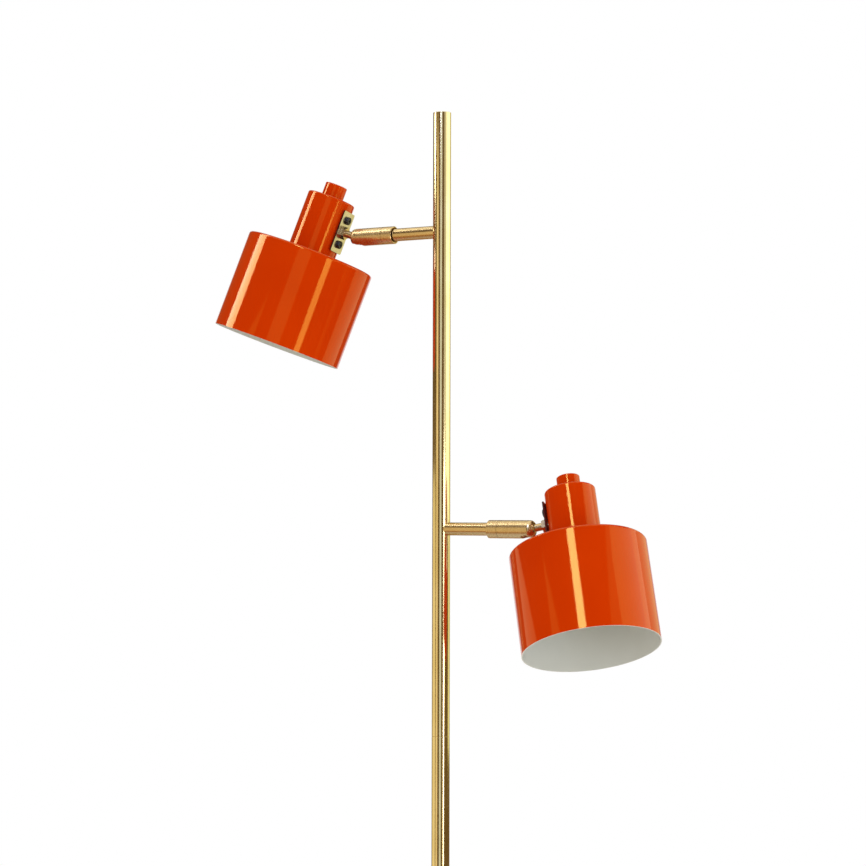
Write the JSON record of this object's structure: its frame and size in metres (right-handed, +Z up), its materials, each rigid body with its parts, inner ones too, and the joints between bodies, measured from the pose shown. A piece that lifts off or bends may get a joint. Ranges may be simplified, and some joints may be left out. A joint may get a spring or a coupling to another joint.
{
  "type": "floor lamp",
  "caption": "Free-standing floor lamp: slim brass pole on a round base, with gloss orange stepped-cylinder spot heads on ball-jointed side arms.",
  "frame": {"origin": "on the floor under the middle of the round base, on the pole's axis", "axes": "+Z up along the pole; the arms run along X, the upper head towards -X and the lower head towards +X; the cord inlet faces +Y"},
  "size_m": [0.4914, 0.2715, 1.27],
  "materials": {
    "pole_brass": "satin brass, drawn lengthwise",
    "turned_brass": "turned and brushed brass",
    "base_brass": "satin brass, spun",
    "inner_brass": "plain turned brass",
    "plate_metal": "nickel plated, satin",
    "black_screw": "blackened steel",
    "zinc_steel": "zinc plated",
    "spring_steel": "spring steel",
    "orange_enamel": "gloss orange enamel outside, matt white inside",
    "cast_disc": "rough cast, painted",
    "felt_pad": "dense felt",
    "black_plastic": "moulded, matt",
    "pale_plastic": "moulded, matt",
    "holder_plastic": "moulded, satin",
    "lead_jacket": "smooth jacket",
    "bulb_cap": "pressed metal",
    "opal_glass": "opal white glass"
  },
  "bodies": {
    "stand": {"base_boss": "pole_brass", "base_cover": "base_brass", "base_nut": "zinc_steel", "base_pad": "felt_pad", "base_rod": "zinc_steel", "base_washer": "zinc_steel", "base_weight": "cast_disc", "cord_bush": "black_plastic", "lower_arm": "pole_brass", "lower_arm_lead": "lead_jacket", "lower_sleeve_ring": "turned_brass", "lower_tube": "pole_brass", "pole_foot": "inner_brass", "pole_joiner": "inner_brass", "pole_plug": "pole_brass", "terminal_block": "pale_plastic", "upper_arm": "pole_brass", "upper_arm_lead": "lead_jacket", "upper_sleeve_ring": "turned_brass", "upper_tube": "pole_brass"},
    "upper_swivel_sleeve": {"upper_sleeve": "turned_brass", "upper_sleeve_clip": "spring_steel", "upper_disc_springs": "spring_steel", "upper_friction_cup": "turned_brass"},
    "upper_ball": {"upper_ball_stud": "turned_brass", "upper_stud_lead": "lead_jacket"},
    "upper_switch": {"upper_knob": "orange_enamel", "upper_knob_spindle": "zinc_steel"},
    "upper_head": {"upper_stud_nut": "turned_brass", "upper_bracket_plate": "plate_metal", "upper_plate_screws": "black_screw", "upper_backing_strip": "zinc_steel", "upper_inner_nut": "zinc_steel", "upper_shade": "orange_enamel", "upper_lampholder": "holder_plastic", "upper_lampholder_nut": "zinc_steel", "upper_socket_contacts": "inner_brass", "upper_bulb_cap": "bulb_cap", "upper_bulb_glass": "opal_glass", "upper_head_lead": "lead_jacket"},
    "lower_swivel_sleeve": {"lower_sleeve": "turned_brass", "lower_sleeve_clip": "spring_steel", "lower_disc_springs": "spring_steel", "lower_friction_cup": "turned_brass"},
    "lower_ball": {"lower_ball_stud": "turned_brass", "lower_stud_lead": "lead_jacket"},
    "lower_switch": {"lower_knob": "orange_enamel", "lower_knob_spindle": "zinc_steel"},
    "lower_head": {"lower_stud_nut": "turned_brass", "lower_bracket_plate": "plate_metal", "lower_plate_screws": "black_screw", "lower_backing_strip": "zinc_steel", "lower_inner_nut": "zinc_steel", "lower_shade": "orange_enamel", "lower_lampholder": "holder_plastic", "lower_lampholder_nut": "zinc_steel", "lower_socket_contacts": "inner_brass", "lower_bulb_cap": "bulb_cap", "lower_bulb_glass": "opal_glass", "lower_head_lead": "lead_jacket"}
  },
  "joints": [
    {"name": "upper_sleeve_swivel", "type": "hinge", "parent": "stand", "child": "upper_swivel_sleeve", "pos_m": [-0.1002, 0, 1.1502], "axis": [-1, 0, 0], "range_deg": [-170, 170]},
    {"name": "upper_ball_tilt", "type": "hinge", "parent": "upper_swivel_sleeve", "child": "upper_ball", "pos_m": [-0.1002, 0, 1.1502], "axis": [0, 1, 0], "range_deg": [-47.6, 3.9]},
    {"name": "upper_head_spin", "type": "hinge", "parent": "upper_ball", "child": "upper_head", "pos_m": [-0.1002, 0, 1.1502], "axis": [-0.9459, -0.0628, 0.3183], "range_deg": [-170, 170]},
    {"name": "upper_switch_turn", "type": "hinge", "parent": "upper_head", "child": "upper_switch", "pos_m": [-0.13353, 0.0023, 1.19314], "axis": [0.3044, 0.1682, 0.9376], "range_deg": [0, 90]},
    {"name": "lower_sleeve_swivel", "type": "hinge", "parent": "stand", "child": "lower_swivel_sleeve", "pos_m": [0.1002, 0, 0.8532], "axis": [1, 0, 0], "range_deg": [-170, 170]},
    {"name": "lower_ball_tilt", "type": "hinge", "parent": "lower_swivel_sleeve", "child": "lower_ball", "pos_m": [0.1002, 0, 0.8532], "axis": [0, -0.9848, 0.1736], "range_deg": [-42.2, 7.3]},
    {"name": "lower_head_spin", "type": "hinge", "parent": "lower_ball", "child": "lower_head", "pos_m": [0.1002, 0, 0.8532], "axis": [0.9418, 0.2593, 0.2141], "range_deg": [-170, 170]},
    {"name": "lower_switch_turn", "type": "hinge", "parent": "lower_head", "child": "lower_switch", "pos_m": [0.13405, 0.01955, 0.89104], "axis": [-0.2812, 0.258, 0.9243], "range_deg": [0, 90]}
  ]
}
